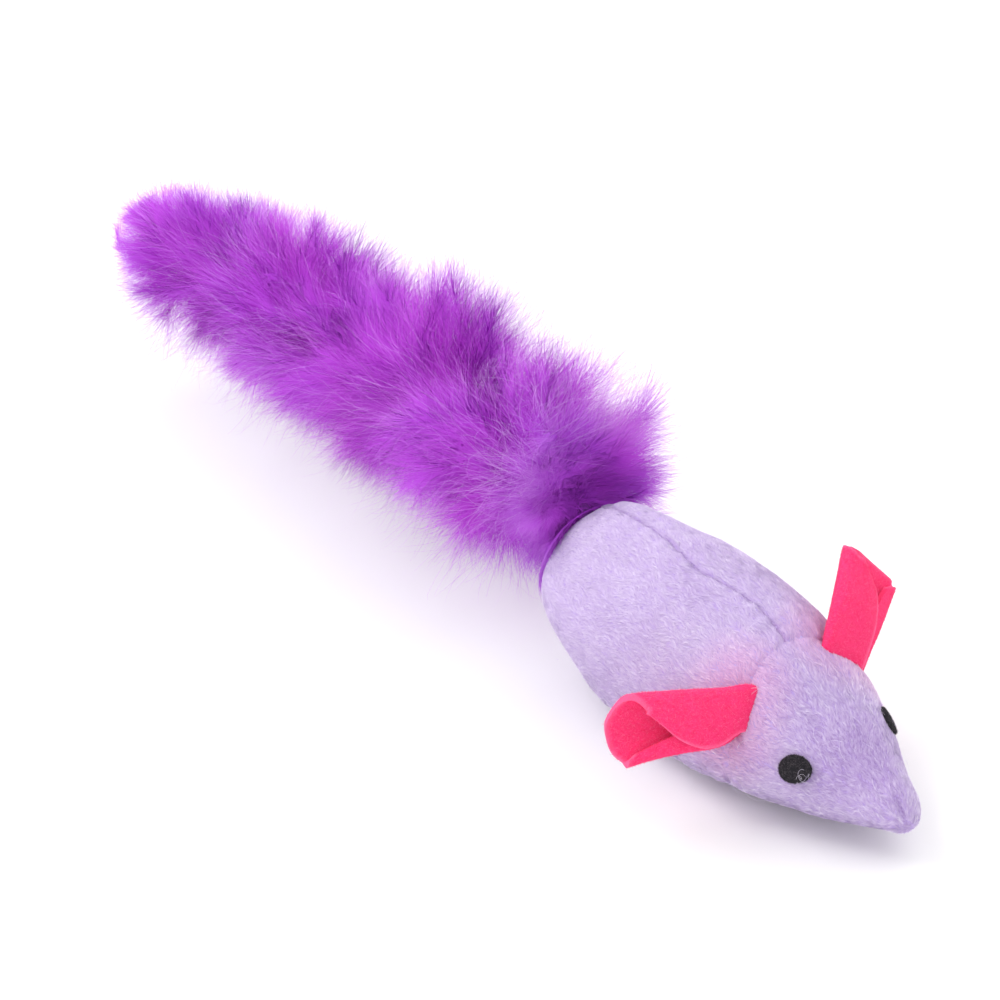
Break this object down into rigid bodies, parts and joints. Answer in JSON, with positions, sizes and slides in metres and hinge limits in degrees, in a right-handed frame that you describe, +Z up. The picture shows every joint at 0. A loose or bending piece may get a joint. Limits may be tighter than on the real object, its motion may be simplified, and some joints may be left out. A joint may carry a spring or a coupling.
{
  "type": "catnip mouse",
  "caption": "Stuffed plush mouse cat toy with folded felt ears, black fabric eyes and a bendable marabou feather tail, filled with catnip.",
  "frame": {"origin": "on the floor under the pressed flat of the belly, on the mouse's middle plane, 50 mm behind the nose tip", "axes": "+Z up, +Y from the nose to the tail, +X to the mouse's left"},
  "size_m": [0.0689, 0.2333, 0.0493],
  "materials": {
    "plush": "soft short-pile plush, matte",
    "filling": "loose fibre, matte",
    "catnip": "dry cut leaf, matte",
    "ear_felt": "pressed felt, matte",
    "eye_felt": "woven pad, matte",
    "tail_cord": "twisted cord, matte",
    "marabou": "downy feather, soft sheen"
  },
  "bodies": {
    "root": {"back_panel_left": "plush", "back_panel_right": "plush", "belly_panel": "plush", "head_panel": "plush", "stuffing": "filling", "catnip_fill": "catnip", "eye_left": "eye_felt", "eye_right": "eye_felt", "tail_cord_anchor": "tail_cord"},
    "ear_left": {"ear_left": "ear_felt"},
    "ear_right": {"ear_right": "ear_felt"},
    "tail_neck": {"tail_cord_neck": "tail_cord"},
    "tail_base": {"tail_cord_base": "tail_cord", "plume_whorl_01": "marabou", "plume_whorl_02": "marabou"},
    "tail_middle": {"tail_cord_middle": "tail_cord", "plume_whorl_03": "marabou", "plume_whorl_04": "marabou", "plume_whorl_05": "marabou", "plume_whorl_06": "marabou"},
    "tail_tip": {"tail_cord_tip": "tail_cord", "plume_whorl_07": "marabou", "plume_whorl_08": "marabou", "plume_whorl_09": "marabou", "plume_whorl_10": "marabou", "plume_whorl_11": "marabou", "plume_whorl_12": "marabou"}
  },
  "joints": [
    {"name": "ear_left_flap", "type": "hinge", "parent": "root", "child": "ear_left", "pos_m": [0.01393, -0.01758, 0.02243], "axis": [0.4448, -0.2949, -0.8457], "range_deg": [-8, 30], "stiffness_Nm_per_rad": 0.003},
    {"name": "ear_right_flap", "type": "hinge", "parent": "root", "child": "ear_right", "pos_m": [-0.01403, -0.0177, 0.02217], "axis": [0.189, 0.44, 0.8779], "range_deg": [-8, 30], "stiffness_Nm_per_rad": 0.003},
    {"name": "tail_swing", "type": "hinge", "parent": "root", "child": "tail_neck", "pos_m": [0, 0.04318, 0.029], "axis": [0, 0, 1], "range_deg": [-40, 40], "stiffness_Nm_per_rad": 0.01},
    {"name": "tail_lift", "type": "hinge", "parent": "tail_neck", "child": "tail_base", "pos_m": [0, 0.04678, 0.029], "axis": [1, 0, 0], "range_deg": [-5, 50], "stiffness_Nm_per_rad": 0.03, "springref_deg": 2.29},
    {"name": "tail_bend_middle", "type": "hinge", "parent": "tail_base", "child": "tail_middle", "pos_m": [0, 0.06958, 0.029], "axis": [0, 0, 1], "range_deg": [-30, 30], "stiffness_Nm_per_rad": 0.01},
    {"name": "tail_bend_tip", "type": "hinge", "parent": "tail_middle", "child": "tail_tip", "pos_m": [0, 0.11678, 0.029], "axis": [0, 0, 1], "range_deg": [-30, 30], "stiffness_Nm_per_rad": 0.01}
  ]
}
